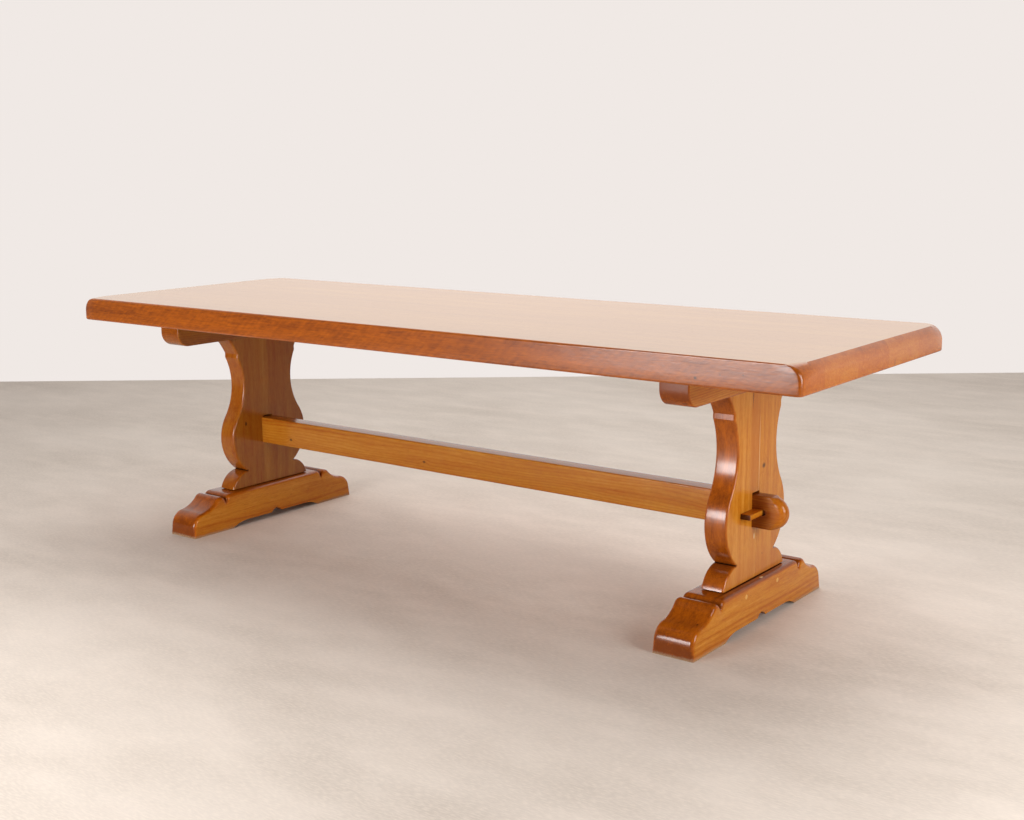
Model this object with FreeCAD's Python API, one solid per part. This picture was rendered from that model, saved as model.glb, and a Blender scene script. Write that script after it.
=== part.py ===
"""Trestle dining table in solid wood.

A slab of edge-joined boards lies on two trestles. Each trestle is a shaped foot, a lyre-shaped upright of
two boards and a bearer under the slab, pegged together at stub tenons. One stretcher runs between the
trestles. Its tenons pass through the uprights, and a loose key through each tenon holds the trestle against
the shoulder.

Millimetres, +Z up, +X along the table. The origin is on the floor, under the middle of the top.
"""
import FreeCAD, Part
import math
import os

Vector = FreeCAD.Vector

# Overall
table_length = 2495.0
table_width = 835.0
table_height = 750.0
trestle_inset = 346.5

# Slab: the places of the board joints are shares of the width, from the front edge
top_thickness = 70.0
end_edge_radius = 26.0
side_edge_radius = 8.0
under_edge_radius = 7.0
top_corner_radius = 7.0
top_joint_shares = (0.136, 0.352, 0.567, 0.793)
tongue_thickness = 14.0
tongue_depth = 12.0
top_tongue_stop = 80.0

# Bearer under the slab
bearer_length = 722.0
bearer_width = 82.0
bearer_height = 68.0
bearer_end_radius = 42.0
bearer_edge_ease = 3.0

# Upright: widths are full widths, draws are taken off each side, heights are shares of the upright's height.
# Its middle, where its boards meet, stands a little behind the middle of the table
upright_thickness = 65.0
upright_edge_ease = 4.5
upright_base_width = 324.0
upright_belly_width = 320.0
upright_crown_width = 322.0
upright_shift = 8.0
cusp_draw = 59.0
waist_draw = 55.0
ledge_lean = 1.3
base_bulge = 8.0
cove_sag = 1.5
base_ease = 2.5
cusp_height_share = 0.113
belly_height_share = 0.342
waist_height_share = 0.704
ledge_height_share = 0.869
notch_height_share = 0.896
lobe_lap_share = 0.2
upright_tongue_stop = 40.0

# Foot
foot_length = 702.0
foot_width = 115.0
foot_height = 115.0
foot_edge_ease = 6.0
toe_length = 136.5
toe_end_height = 30.0
nose_radius = 45.0
toe_cove_radius = 93.0
crest_radius = 22.0
crest_drop = 2.5
notch_depth = 19.5
pad_length = 160.0
arch_rise = 16.5
arch_ramp = 57.0
arch_point_width = 44.0
arch_point_rise = 13.5

# Stretcher and its through tenons
stretcher_thickness = 54.0
stretcher_height = 85.0
stretcher_floor_gap = 254.0
stretcher_edge_radius = 4.0
tenon_thickness = 38.0
tenon_projection = 92.0
tenon_plan_radius = 17.0
mortise_headroom = 5.0

# Key through each tenon
key_width = 28.0
key_height = 14.5
key_front_reach = 63.0
key_back_reach = 48.0
key_edge_ease = 2.0
slot_headroom = 1.2
slot_end_gap = 9.5
slot_relief = 6.0

# Stub tenons of the upright and their pegs: shares of the piece that takes them
stub_thickness = 22.0
stub_width = 84.0
stub_place_share = 0.53
foot_stub_share = 0.5
bearer_stub_share = 0.62
peg_diameter = 12.5
peg_sides = 8
peg_stand = 1.5
peg_drop_share = 0.4
peg_reach_share = 0.75

# Coach screws that hold the slab down on each bearer: places are shares of the bearer's half length
screw_diameter = 8.0
screw_head_width = 13.0
screw_head_height = 5.5
screw_place_shares = (-0.58, 0.58)
screw_bite_share = 0.62
counterbore_diameter = 22.0
counterbore_share = 0.4

# Clearances
joint_clearance = 0.25
glue_room = 1.5
peg_clearance = 0.1
screw_clearance = 0.15
running_clearance = 0.3
overrun = 5.0
tolerance = 0.001

# Levels and half sizes that the pieces share
trestle_spacing = table_length - 2 * trestle_inset
slab_bottom = table_height - top_thickness
bearer_bottom = slab_bottom - bearer_height
upright_height = bearer_bottom - foot_height
base_half = upright_base_width / 2
belly_half = upright_belly_width / 2
crown_half = upright_crown_width / 2
upright_half = upright_thickness / 2
foot_half = foot_length / 2
stub_place = stub_place_share * base_half
tenon_middle = stretcher_floor_gap + stretcher_height / 2
slot_height = key_height + slot_headroom
foot_stub_length = foot_stub_share * foot_height
bearer_stub_length = bearer_stub_share * bearer_height
counterbore_depth = counterbore_share * bearer_height
screw_seat = bearer_bottom + counterbore_depth
screw_tip = slab_bottom + screw_bite_share * top_thickness


# Building blocks

def block(low, high):
    """Box between two corners."""
    size = [b - a for a, b in zip(low, high)]
    return Part.makeBox(size[0], size[1], size[2], Vector(*low))


def yz(y, z):
    """Point of an outline that is drawn across the table."""
    return Vector(0, y, z)


def line(start, end):
    return Part.makeLine(start, end)


def arc_about(centre, start, end):
    """Shorter arc from start to end round a centre."""
    radius = (start - centre).Length
    middle = (start - centre) + (end - centre)
    middle.normalize()
    return Part.Arc(start, centre + middle * radius, end).toShape()


def arc_run_on(start, end, bulge):
    """Arc from start through end and past it, with the point where it stops.

    Its middle between start and end stands off the chord by bulge, to the right of the way in the YZ plane.
    """
    along = end - start
    side = Vector(0, along.z, -along.y)
    side.normalize()
    curve = Part.Arc(start, (start + end) * 0.5 + side * bulge, end)
    stop = curve.value(curve.LastParameter + lobe_lap_share * (curve.LastParameter - curve.FirstParameter))
    return Part.Arc(start, end, stop).toShape(), stop


def mirrored(edges):
    """The edges of a half outline, with the same edges on the other side of the table's middle plane."""
    both = list(edges)
    for edge in edges:
        start, middle, end = [yz(-point.y, point.z) for point in edge.discretize(3)]
        straight = edge.Curve.TypeId == "Part::GeomLine"
        both.append(line(start, end) if straight else Part.Arc(start, middle, end).toShape())
    return both


def across_solid(edges, thickness):
    """Solid from a closed YZ outline, with its thickness centred on x = 0."""
    wire = Part.Wire(Part.__sortEdges__(edges))
    solid = Part.Face(wire).extrude(Vector(thickness, 0, 0))
    solid.translate(Vector(-thickness / 2, 0, 0))
    return solid


def eased(shaped, closing, thickness, ease):
    """Solid from a closed YZ outline, with the arrises along its shaped edges planed off on both sides."""
    solid = across_solid(shaped + closing, thickness)
    ends = [vertex.Point for edge in shaped for vertex in edge.Vertexes]
    tools = []
    for edge in shaped:
        start, middle, end = edge.discretize(3)
        outward = edge.tangentAt(edge.getParameterByLength(edge.Length / 2)).cross(Vector(1, 0, 0))
        if solid.isInside(middle + outward * tolerance, tolerance / 2, True):
            outward = -outward
        free = [sum((point - other).Length < tolerance for other in ends) == 1 for point in (start, end)]
        tools.extend(arris_tool(edge, outward, side * thickness / 2, ease, free) for side in (-1, 1))
    return solid.cut(tools)


def arris_tool(edge, outward, face, ease, free):
    """What a plane takes off one arris, at x = face, along a line or an arc. It runs on past free ends."""
    start, middle, end = edge.discretize(3)
    lead, trail = [overrun if loose else 0 for loose in free]
    side = Vector(math.copysign(1, face), 0, 0)
    if edge.Curve.TypeId == "Part::GeomLine":
        way = (end - start).normalize()
        section = arris_section(start - way * lead, outward, side, abs(face), ease)
        return section.extrude(way * (edge.Length + lead + trail))
    centre = edge.Curve.Center
    radius = edge.Curve.Radius
    bend = (middle - start).Length
    turn = math.copysign(4 * math.asin(bend / (2 * radius)), (start - centre).cross(middle - centre).x)
    back = math.copysign(lead / radius, turn)
    spoke = (start - centre).normalize()
    bulging = outward.dot(middle - centre) > 0
    section = arris_section(start, spoke if bulging else -spoke, side, abs(face), ease)
    axis = Vector(1, 0, 0)
    section.rotate(centre, axis, math.degrees(-back))
    return section.revolve(centre, axis, math.degrees(turn + back + math.copysign(trail / radius, turn)))


def arris_section(point, outward, side, half, ease):
    """Triangle over the arris at a point of the outline, with room beyond both faces."""
    inner = point - outward * (ease + overrun) + side * (half + overrun)
    lower = point + outward * overrun + side * (half - ease - overrun)
    outer = point + outward * overrun + side * (half + overrun)
    return Part.Face(Part.makePolygon([inner, lower, outer, inner]))


def join(solids):
    whole = solids[0].fuse(solids[1:]) if len(solids) > 1 else solids[0]
    return whole.removeSplitter()


def cut(solid, tools):
    return solid.cut(tools).removeSplitter()


def drill(diameter, start, end):
    """Cylinder of a diameter between two points."""
    way = end - start
    return Part.makeCylinder(diameter / 2, way.Length, start, way)


# Slab

def slab():
    """Whole slab: one edge profile along the sides and a rounder one at the ends, with eased corners."""
    length_half = table_length / 2
    width_half = table_width / 2
    plan = block((-length_half, -width_half, slab_bottom), (length_half, width_half, table_height))
    upright_corners = [e for e in plan.Edges if e.BoundBox.ZLength > tolerance]
    plan = plan.makeFillet(top_corner_radius, upright_corners)
    along = block((-length_half, -width_half, slab_bottom), (length_half, width_half, table_height))
    across = along.copy()
    sides = rounded_rim(along, "XLength", side_edge_radius)
    ends = rounded_rim(across, "YLength", end_edge_radius)
    return plan.common(sides).common(ends).removeSplitter()


def rounded_rim(solid, way, radius):
    """Round of a radius on the upper edges and a small one on the lower edges that run one way."""
    runs = [e for e in solid.Edges if getattr(e.BoundBox, way) > tolerance]
    upper = [e for e in runs if e.BoundBox.Center.z > table_height - tolerance]
    solid = solid.makeFillet(min(radius, top_thickness - under_edge_radius), upper)
    runs = [e for e in solid.Edges if getattr(e.BoundBox, way) > tolerance]
    lower = [e for e in runs if e.BoundBox.Center.z < slab_bottom + tolerance]
    return solid.makeFillet(under_edge_radius, lower)


def tongue(joint, low, high, middle, thin_axis, room):
    """Tongue that stands on one board's edge at y = joint. With room, the groove in the next board."""
    side = tongue_thickness / 2 + (joint_clearance if room else 0)
    stop = joint_clearance if room else 0
    start = joint if room else joint - tongue_depth
    end = joint + tongue_depth + (glue_room if room else 0)
    if thin_axis == "z":
        return block((low - stop, start, middle - side), (high + stop, end, middle + side))
    return block((middle - side, start, low - stop), (middle + side, end, high + stop))


def top_boards():
    """Boards of the slab, each with a tongue on its rear edge and a groove in its front edge."""
    whole = slab()
    width_half = table_width / 2
    joints = [share * table_width - width_half for share in top_joint_shares]
    edges = [-width_half - overrun] + joints + [width_half + overrun]
    reach = table_length / 2 - top_tongue_stop
    middle = slab_bottom + top_thickness / 2
    far = table_length / 2 + overrun
    holes = [drill(screw_diameter + 2 * screw_clearance, start, end) for start, end in all_screw_runs()]
    boards = {}
    for number in range(len(joints) + 1):
        low = (-far, edges[number], slab_bottom - overrun)
        high = (far, edges[number + 1], table_height + overrun)
        board = whole.common(block(low, high))
        if number < len(joints):
            board = board.fuse(tongue(joints[number], -reach, reach, middle, "z", False))
        if number > 0:
            board = board.cut(tongue(joints[number - 1], -reach, reach, middle, "z", True))
        boards["top_board_%d" % (number + 1)] = cut(board, holes)
    return boards


# Trestle: modelled round x = 0 with its outer side towards +X

def bearer():
    """Bearer with round lower ends, mortised for the upright and bored for the screws."""
    half = bearer_length / 2
    radius = min(bearer_end_radius, bearer_height)
    ring = yz(half - radius, bearer_bottom + radius)
    foot_of_arc = yz(half - radius, bearer_bottom)
    head_of_arc = yz(half, bearer_bottom + radius)
    under = line(yz(-foot_of_arc.y, bearer_bottom), foot_of_arc)
    end = [arc_about(ring, foot_of_arc, head_of_arc), line(head_of_arc, yz(half, slab_bottom))]
    top = line(yz(-half, slab_bottom), yz(half, slab_bottom))
    solid = eased([under] + mirrored(end), [top], bearer_width, bearer_edge_ease)
    tools = stubs(bearer_bottom, bearer_stub_length, True) + pegs(bearer_peg_level(), bearer_width, True)
    for start, end in screw_runs():
        tools.append(drill(screw_diameter + 2 * screw_clearance, start, end))
        mouth = Vector(start.x, start.y, bearer_bottom - overrun)
        tools.append(drill(counterbore_diameter, mouth, Vector(start.x, start.y, screw_seat)))
    return cut(solid, tools)


def screw_runs():
    """Line of each screw of a trestle, from its head's seat to its tip."""
    runs = []
    for share in screw_place_shares:
        y = share * bearer_length / 2
        runs.append((Vector(0, y, screw_seat), Vector(0, y, screw_tip)))
    return runs


def all_screw_runs():
    """The same on both trestles."""
    runs = []
    for x in (-trestle_spacing / 2, trestle_spacing / 2):
        place = Vector(x, 0, 0)
        runs.extend((start + place, end + place) for start, end in screw_runs())
    return runs


def coach_screw(start, end):
    """Hexagon head under its seat, with a shank that ends in a cone."""
    shank_radius = screw_diameter / 2
    cone_start = end - Vector(0, 0, screw_diameter)
    corner = screw_head_width / math.sqrt(3)
    corners = [start + Vector(corner * math.cos(k * math.pi / 3), corner * math.sin(k * math.pi / 3), 0)
               for k in range(7)]
    head = Part.Face(Part.makePolygon(corners)).extrude(Vector(0, 0, -screw_head_height))
    shank = drill(screw_diameter, start, cone_start)
    point = Part.makeCone(shank_radius, 0, screw_diameter, cone_start)
    return join([head, shank, point])


def stubs(level, length, room):
    """Stub tenons at one end of the upright, up or down from its shoulder. With room, their mortises."""
    solids = []
    gap = joint_clearance if room else 0
    way = 1 if level > foot_height else -1
    deep = level + way * (length + (glue_room if room else 0))
    root = level - way * overrun
    for side in (-1, 1):
        middle = side * stub_place
        low = (-stub_thickness / 2 - gap, middle - stub_width / 2 - gap, min(root, deep))
        high = (stub_thickness / 2 + gap, middle + stub_width / 2 + gap, max(root, deep))
        solids.append(block(low, high))
    return solids


def foot_peg_level():
    return foot_height - peg_drop_share * foot_stub_length


def bearer_peg_level():
    return bearer_bottom + peg_drop_share * bearer_stub_length


def pegs(level, width, room):
    """Pegs driven in from the outer side until their heads stand a little proud. With room, their holes."""
    face = width / 2
    bottom = face - peg_reach_share * width
    solids = []
    for side in (-1, 1):
        start = Vector(bottom, side * stub_place, level)
        if room:
            solids.append(planed_rod(start, face + overrun - bottom, peg_diameter + 2 * peg_clearance))
        else:
            solids.append(peg(start, face + peg_stand - bottom))
    return solids


def planed_rod(start, length, across):
    """Rod along +X with even flat sides."""
    corner = across / 2 / math.cos(math.pi / peg_sides)
    turns = [(2 * k + 1) * math.pi / peg_sides for k in range(peg_sides + 1)]
    corners = [start + Vector(0, corner * math.cos(turn), corner * math.sin(turn)) for turn in turns]
    return Part.Face(Part.makePolygon(corners)).extrude(Vector(length, 0, 0))


def peg(start, length):
    """Riven peg, planed to its sides, with the edges of its head taken off."""
    solid = planed_rod(start, length, peg_diameter)
    head = solid.BoundBox.XMax - tolerance
    return solid.makeChamfer(peg_stand, [e for e in solid.Edges if e.BoundBox.XMin > head])


def upright_levels():
    """Heights of the upright's outline above the floor."""
    low_shares = [cusp_height_share, belly_height_share, waist_height_share]
    high_shares = [ledge_height_share, notch_height_share]
    return [foot_height + share * upright_height for share in low_shares + high_shares]


def lobe(edges, low, high):
    """One stretch of the upright, cut off level at low and high, with its shaped arrises eased."""
    closing = [line(yz(-end.y, end.z), end) for end in (low, high)]
    return eased(mirrored(edges), closing, upright_thickness, upright_edge_ease)


def lyre():
    """Outline of the upright: an ovolo base, a belly that sweeps into the waist, a ledge and a cove."""
    cusp_level, belly_level, waist_level, ledge_level, notch_level = upright_levels()
    cusp = yz(belly_half - cusp_draw, cusp_level)

    base_corner = yz(base_half, foot_height)
    ovolo, base_end = arc_run_on(base_corner, cusp, base_bulge)
    base = eased_base(lobe([ovolo], base_corner, base_end))

    rise = belly_level - cusp_level
    belly_radius = (cusp_draw ** 2 + rise ** 2) / (2 * cusp_draw)
    belly_centre = yz(belly_half - belly_radius, belly_level)
    climb = waist_level - belly_level
    waist_radius = (waist_draw ** 2 + climb ** 2) / (2 * waist_draw) - belly_radius
    waist_centre = yz(belly_half - waist_draw + waist_radius, waist_level)
    share = belly_radius / (belly_radius + waist_radius)
    meeting = belly_centre + (waist_centre - belly_centre) * share
    low_angle = math.asin(rise / belly_radius)
    low_angle += lobe_lap_share * (math.pi / 2 - low_angle)
    low = belly_centre + yz(belly_radius * math.cos(low_angle), -belly_radius * math.sin(low_angle))
    ledge, over = [on_waist(waist_centre, waist_radius, level) for level in (ledge_level, notch_level)]
    notch = yz(ledge.y + ledge_lean, notch_level)
    belly = lobe([arc_about(belly_centre, low, meeting), arc_about(waist_centre, meeting, over)], low, over)
    belly = belly.cut(ledge_tools(ledge, notch))

    crown_corner = yz(crown_half, bearer_bottom)
    cove, crown_end = arc_run_on(crown_corner, notch, cove_sag)
    crown = lobe([cove], crown_end, crown_corner)
    outline = join([base, belly, crown])
    outline.translate(yz(upright_shift, 0))
    return outline


def on_waist(centre, radius, level):
    """Point of the waist's arc at a height."""
    rise = level - centre.z
    return yz(centre.y - math.sqrt(radius ** 2 - rise ** 2), level)


def ledge_tools(ledge, notch):
    """What is planed off above the waist on each side, to leave a narrow steep ledge."""
    run = notch - ledge
    start = ledge - run
    end = notch + run
    far = belly_half + upright_thickness
    corners = [start, end, yz(far, end.z), yz(far, start.z), start]
    right = across_solid(Part.makePolygon(corners).Edges, upright_thickness + 2 * overrun)
    return [right, right.mirror(Vector(), Vector(0, 1, 0))]


def eased_base(solid):
    """Small chamfer round the upright's lower end, where it stands on the foot."""
    rim = [e for e in solid.Edges
           if e.BoundBox.ZLength < tolerance and abs(e.BoundBox.Center.z - foot_height) < tolerance]
    return solid.makeChamfer(base_ease, rim)


def through_mortise():
    """Mortise for the stretcher's tenon, with the headroom that the tenon leaves above it."""
    half = tenon_thickness / 2 + joint_clearance
    low = (-upright_half - overrun, -half, stretcher_floor_gap)
    high = (upright_half + overrun, half, stretcher_floor_gap + stretcher_height + mortise_headroom)
    return block(low, high)


def upright_boards():
    """The upright as two equal boards, tongued together, with stub tenons at both ends."""
    tenons = stubs(foot_height, foot_stub_length, False) + stubs(bearer_bottom, bearer_stub_length, False)
    whole = lyre().fuse(tenons)
    far = base_half + belly_half
    low_z = foot_height - foot_stub_length - overrun
    high_z = bearer_bottom + bearer_stub_length + overrun
    joint = upright_shift
    ends = (foot_height + upright_tongue_stop, bearer_bottom - upright_tongue_stop)
    tools = [through_mortise()]
    tools += pegs(foot_peg_level(), foot_width, True) + pegs(bearer_peg_level(), bearer_width, True)
    front = whole.common(block((-far, -far, low_z), (far, joint, high_z)))
    front = front.fuse(tongue(joint, ends[0], ends[1], 0, "x", False))
    rear = whole.common(block((-far, joint, low_z), (far, far, high_z)))
    rear = rear.cut(tongue(joint, ends[0], ends[1], 0, "x", True))
    return cut(front, tools), cut(rear, tools)


def circle_meeting(first, first_radius, second, second_radius):
    """Upper point where two circles of the YZ plane cross."""
    way = second - first
    gap = way.Length
    along = (gap ** 2 + first_radius ** 2 - second_radius ** 2) / (2 * gap)
    aside = math.sqrt(first_radius ** 2 - along ** 2)
    unit = way * (1 / gap)
    sides = [first + unit * along + Vector(0, -unit.z, unit.y) * (aside * sign) for sign in (-1, 1)]
    return max(sides, key=lambda point: point.z)


def toe():
    """Front end of the foot: an upright end, a nose, a cove and a rolled crest, all tangent."""
    notch_level = foot_height - notch_depth
    shoulder_end = foot_half - toe_length
    nose_centre = yz(foot_half - nose_radius, toe_end_height)
    crest_level = foot_height - crest_drop - crest_radius
    crest_out = math.sqrt(crest_radius ** 2 - (notch_level - crest_level) ** 2)
    crest_centre = yz(shoulder_end + crest_out, crest_level)
    cove_centre = circle_meeting(nose_centre, nose_radius + toe_cove_radius,
                                 crest_centre, crest_radius + toe_cove_radius)
    nose_end = nose_centre + (cove_centre - nose_centre) * (nose_radius / (nose_radius + toe_cove_radius))
    crest_reach = crest_radius / (crest_radius + toe_cove_radius)
    crest_end = crest_centre + (cove_centre - crest_centre) * crest_reach
    end_top = yz(foot_half, toe_end_height)
    crest_top = crest_centre + yz(0, crest_radius)
    crest_inner = crest_centre + yz(-crest_radius, 0)
    shaped = [
        line(yz(foot_half, 0), end_top),
        arc_about(nose_centre, end_top, nose_end),
        arc_about(cove_centre, nose_end, crest_end),
        arc_about(crest_centre, crest_end, crest_top),
        arc_about(crest_centre, crest_top, crest_inner),
    ]
    closing = [line(crest_inner, yz(crest_inner.y, 0)), line(yz(crest_inner.y, 0), yz(foot_half, 0))]
    return eased(shaped, closing, foot_width, foot_edge_ease)


def foot_middle():
    """Middle of the foot, with quarter-round shoulders that roll down into the notches."""
    half = foot_half - toe_length
    shoulder = yz(half - notch_depth, foot_height)
    ring = shoulder - yz(0, notch_depth)
    end = ring + yz(notch_depth, 0)
    flat = line(yz(-shoulder.y, foot_height), shoulder)
    under = line(yz(-half, 0), yz(half, 0))
    shaped = [flat] + mirrored([arc_about(ring, shoulder, end)])
    return eased(shaped, mirrored([line(end, yz(half, 0))]) + [under], foot_width, foot_edge_ease)


def foot_core():
    """Straight run under the notches that ties the middle to both toes."""
    reach = foot_half - toe_length + crest_radius
    top = foot_height - notch_depth - foot_edge_ease
    return block((-foot_width / 2, -reach, 0), (foot_width / 2, reach, top))


def foot_arch():
    """Space under the foot, between its pads: a ramp at each end and a point in the middle."""
    end = yz(foot_half - pad_length, 0)
    ramp_top = yz(end.y - arch_ramp, arch_rise)
    ramp_radius = (arch_ramp ** 2 + arch_rise ** 2) / (2 * arch_rise)
    point_end = yz(arch_point_width / 2, arch_rise)
    point_radius = (point_end.y ** 2 + arch_point_rise ** 2) / (2 * arch_point_rise)
    outline = [
        line(yz(0, -overrun), yz(end.y, -overrun)),
        line(yz(end.y, -overrun), end),
        arc_about(ramp_top - yz(0, ramp_radius), end, ramp_top),
        line(ramp_top, point_end),
        arc_about(point_end + yz(0, point_radius), point_end, yz(0, arch_rise + arch_point_rise)),
    ]
    return across_solid(mirrored(outline), foot_width + 2 * overrun)


def foot():
    """Whole foot, mortised for the upright's stubs and bored for their pegs."""
    front_toe = toe()
    rear_toe = front_toe.mirror(Vector(), Vector(0, 1, 0))
    solid = join([foot_middle(), foot_core(), front_toe, rear_toe])
    tools = [foot_arch()] + stubs(foot_height, foot_stub_length, True)
    tools += pegs(foot_peg_level(), foot_width, True)
    return cut(solid, tools)


def slot_start():
    """Distance of the slot's inner end from the trestle's middle, inside the upright."""
    return upright_half - slot_relief


def slot_stop():
    """Distance of the slot's round outer end from the trestle's middle."""
    return upright_half + running_clearance + key_width + slot_end_gap


def key_slot(x):
    """Slot through a tenon for the key, with a drilled outer end, on the trestle at x > 0."""
    half = tenon_thickness / 2 + overrun
    radius = slot_height / 2
    low = tenon_middle - radius
    ring = x + slot_stop() - radius
    straight = block((x + slot_start(), -half, low), (ring, half, low + slot_height))
    end = drill(slot_height, Vector(ring, -half, tenon_middle), Vector(ring, half, tenon_middle))
    return straight.fuse(end)


def key(x):
    """Loose key that lies across the outer face of the upright, in the tenon's slot."""
    inner = x + upright_half + running_clearance
    low = tenon_middle - slot_height / 2 + running_clearance
    front = -tenon_thickness / 2 - key_front_reach
    back = tenon_thickness / 2 + key_back_reach
    solid = block((inner, front, low), (inner + key_width, back, low + key_height))
    return solid.makeChamfer(key_edge_ease, solid.Edges)


def through_tenon():
    """Tenon at the +X end: a half-round nose in elevation, with round corners in plan."""
    shoulder = trestle_spacing / 2 - upright_half
    tip = trestle_spacing / 2 + upright_half + tenon_projection
    low = stretcher_floor_gap
    high = low + stretcher_height
    radius = stretcher_height / 2
    half = tenon_thickness / 2
    root = shoulder - overrun
    bar = block((root, -half, low), (tip - radius, half, high))
    nose_ring = Vector(tip - radius, -half, tenon_middle)
    nose = Part.makeCylinder(radius, tenon_thickness, nose_ring, Vector(0, 1, 0))
    plan = block((root, -half, low), (tip, half, high))
    corners = [e for e in plan.Edges if e.BoundBox.ZLength > tolerance and e.BoundBox.XMin > tip - tolerance]
    plan = plan.makeFillet(min(tenon_plan_radius, half - tolerance), corners)
    return join([bar, nose]).common(plan).cut(key_slot(trestle_spacing / 2))


def stretcher():
    """Rail between the trestles with a through tenon at each end."""
    reach = trestle_spacing / 2 - upright_half
    half = stretcher_thickness / 2
    high = stretcher_floor_gap + stretcher_height
    rail = block((-reach, -half, stretcher_floor_gap), (reach, half, high))
    rail = rail.makeFillet(stretcher_edge_radius, [e for e in rail.Edges if e.BoundBox.XLength > reach])
    right = through_tenon()
    left = right.mirror(Vector(), Vector(1, 0, 0))
    return join([rail, right, left])


# Assembly

def on_right(shape):
    placed = shape.copy()
    placed.translate(Vector(trestle_spacing / 2, 0, 0))
    return placed


def on_left(shape):
    return on_right(shape).mirror(Vector(), Vector(1, 0, 0))


def pieces():
    """Every node's name with its shape."""
    nodes = top_boards()
    nodes["stretcher"] = stretcher()
    front_board, rear_board = upright_boards()
    trestle = {
        "foot": foot(),
        "upright_front_board": front_board,
        "upright_rear_board": rear_board,
        "bearer": bearer(),
        "foot_pegs": Part.makeCompound(pegs(foot_peg_level(), foot_width, False)),
        "bearer_pegs": Part.makeCompound(pegs(bearer_peg_level(), bearer_width, False)),
        "top_screws": Part.makeCompound([coach_screw(start, end) for start, end in screw_runs()]),
        "key": key(0),
    }
    for name, shape in trestle.items():
        nodes["left_" + name] = on_left(shape)
        nodes["right_" + name] = on_right(shape)
    return nodes


def main():
    os.makedirs("parts", exist_ok=True)
    for name, shape in pieces().items():
        shape.exportStep("parts/%s.step" % name)


main()
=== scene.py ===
"""Looks of a trestle dining table in varnished elm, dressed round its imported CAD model.

Every shaped piece of wood is drawn again as a mesh with the soft arrises, the grain and the small faults that the
planed and varnished wood has. Metres, +Z up, +X along the table, origin on the floor under the middle of the top.
"""
import math

import bmesh
import bpy
from mathutils import Matrix, Vector


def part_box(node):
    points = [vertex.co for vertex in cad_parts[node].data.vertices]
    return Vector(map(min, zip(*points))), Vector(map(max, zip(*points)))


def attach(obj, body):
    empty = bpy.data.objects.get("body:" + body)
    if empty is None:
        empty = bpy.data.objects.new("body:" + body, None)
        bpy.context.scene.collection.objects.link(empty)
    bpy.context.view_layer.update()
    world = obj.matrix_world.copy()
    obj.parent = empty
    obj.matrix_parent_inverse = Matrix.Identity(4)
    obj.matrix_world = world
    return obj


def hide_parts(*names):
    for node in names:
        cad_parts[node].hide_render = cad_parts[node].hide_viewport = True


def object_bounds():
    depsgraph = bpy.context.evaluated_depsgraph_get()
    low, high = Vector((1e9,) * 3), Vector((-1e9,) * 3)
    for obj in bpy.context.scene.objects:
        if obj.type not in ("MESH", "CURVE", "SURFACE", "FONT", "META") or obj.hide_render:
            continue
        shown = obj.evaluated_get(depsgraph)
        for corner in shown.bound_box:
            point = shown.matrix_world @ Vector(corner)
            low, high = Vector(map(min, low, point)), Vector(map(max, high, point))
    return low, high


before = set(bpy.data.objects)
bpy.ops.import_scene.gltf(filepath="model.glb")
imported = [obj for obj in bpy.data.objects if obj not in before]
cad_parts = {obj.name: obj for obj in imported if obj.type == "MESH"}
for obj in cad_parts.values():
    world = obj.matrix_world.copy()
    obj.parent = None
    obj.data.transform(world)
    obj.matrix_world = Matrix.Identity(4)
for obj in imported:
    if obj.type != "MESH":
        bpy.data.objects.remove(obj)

bl_info = {
    "name": "Trestle Dining Table",
    "version": (1, 0, 0),
    "blender": (4, 5, 0),
    "location": "View3D > Sidebar > Table",
    "description": "Dresses the packed trestle table in varnished elm and sets its studio",
    "category": "Object",
}

QUARTER = math.pi / 2  # a quarter turn
SIDES = {"left": -1, "right": 1}
CAD_LOW, CAD_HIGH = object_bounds()
SLAB_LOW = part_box("top_board_1")[0]
FOOT_LOW, FOOT_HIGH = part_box("right_foot")
BEARER_LOW, BEARER_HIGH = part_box("right_bearer")
RAIL_LOW, RAIL_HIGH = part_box("stretcher")
TRESTLE = (FOOT_LOW.x + FOOT_HIGH.x) / 2
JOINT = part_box("right_upright_rear_board")[0].y  # where the two boards of an upright meet
UPRIGHT_HALF = 0.0325  # half the uprights' thickness
INNER_FACE, OUTER_FACE = TRESTLE - UPRIGHT_HALF, TRESTLE + UPRIGHT_HALF
GLUE_LINE = 0.00015  # half the width of the dark line between the boards
RAIL_HALF = 0.027  # half the stretcher's thickness, then that of its tenons and of their mortises
TENON_HALF = 0.019
MORTISE_HALF = 0.01925
MORTISE_ROOM = 0.005  # height of the gap over the tenon
SLOT_HALF = 0.00785  # half the height of the key's slot
SLOT_BACK = 0.006  # how far the slot starts inside the upright
SLOT_ROOM = 0.0095  # from the key to the slot's round end


def length(name, description, default):
    """A size in metres that a user may change."""
    return bpy.props.FloatProperty(name=name, description=description, default=default, unit="LENGTH", precision=4)


def colour(name, description, default):
    """A colour that a user may change, written as sRGB hex."""
    return bpy.props.StringProperty(name=name, description=description, default=default)


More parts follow.
